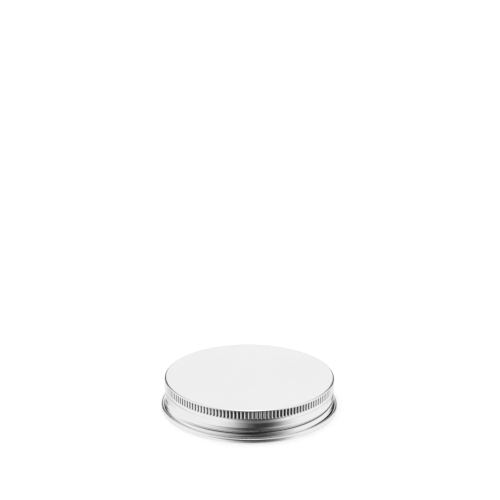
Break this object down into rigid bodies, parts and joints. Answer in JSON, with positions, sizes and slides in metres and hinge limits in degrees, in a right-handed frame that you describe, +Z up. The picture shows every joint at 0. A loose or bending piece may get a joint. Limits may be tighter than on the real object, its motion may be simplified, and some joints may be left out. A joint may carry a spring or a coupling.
{
  "type": "aluminium screw cap",
  "caption": "Pressed aluminium screw cap with a flat top, knurled band, rolled thread, curled edge and foam liner.",
  "frame": {"origin": "on the cap's axis, level with the foot of the curled edge that it rests on", "axes": "+Z up along the axis through the flat top; -Y towards the viewer, 60 degrees on from the start of the thread"},
  "size_m": [0.0736, 0.0736, 0.0132],
  "materials": {
    "aluminium": "bright satin sheet, clear lacquered",
    "liner_foam": "white closed-cell foam"
  },
  "bodies": {
    "root": {"cap_shell": "aluminium", "liner": "liner_foam"}
  },
  "joints": []
}
